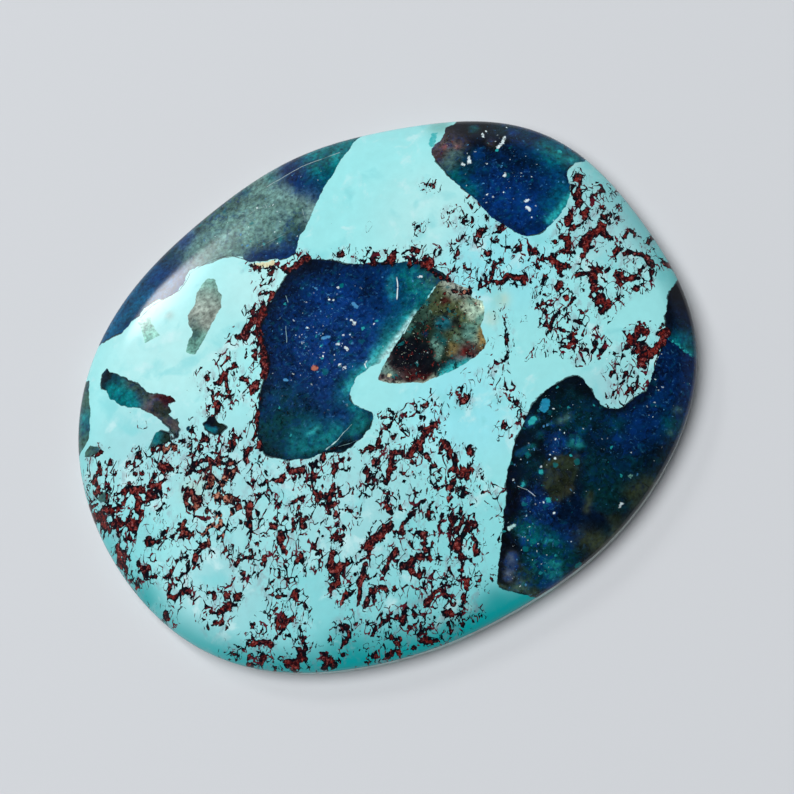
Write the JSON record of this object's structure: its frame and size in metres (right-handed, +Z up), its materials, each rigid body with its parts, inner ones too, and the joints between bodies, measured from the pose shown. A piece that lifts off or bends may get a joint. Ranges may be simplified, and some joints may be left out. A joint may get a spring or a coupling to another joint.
{
  "type": "shattuckite stone",
  "caption": "Polished oval cabochon of blue-green shattuckite with a flat back, upright girdle, sloping shoulder and low domed crown.",
  "frame": {"origin": "middle of the flat back, on the surface the stone rests on", "axes": "+X along the stone's length, +Z up from the flat back through the crown"},
  "size_m": [0.0442, 0.0371, 0.005],
  "materials": {
    "polished_shattuckite": "polished"
  },
  "bodies": {
    "root": {"stone": "polished_shattuckite"}
  },
  "joints": []
}
